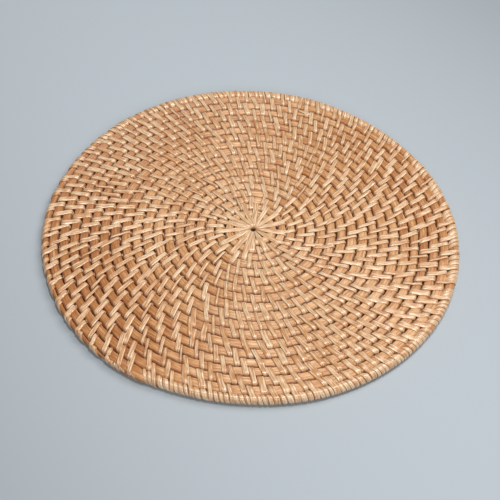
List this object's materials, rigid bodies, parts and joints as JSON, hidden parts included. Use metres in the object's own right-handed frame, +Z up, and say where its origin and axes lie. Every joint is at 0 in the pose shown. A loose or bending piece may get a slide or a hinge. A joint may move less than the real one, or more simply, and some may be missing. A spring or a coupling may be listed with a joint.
{
  "type": "round coiled rattan placemat",
  "caption": "Flat round table mat: one rattan core coiled in a spiral from a small eye, each row bound to the row before by thin peel strips, with a closely wrapped rim.",
  "frame": {"origin": "under the middle of the mat, on the surface that it lies on", "axes": "+Z up out of the mat's upper face; +X and +Y lie in the mat's plane, and the coil winds outward counter-clockwise seen from +Z"},
  "size_m": [0.2996, 0.2995, 0.008],
  "materials": {
    "rattan_core": "satin, natural cane core with darker brown splits",
    "rattan_peel": "smooth semi-gloss peel strips, pale straw colour"
  },
  "bodies": {
    "root": {"coiled_mat": "rattan_core"}
  },
  "joints": []
}
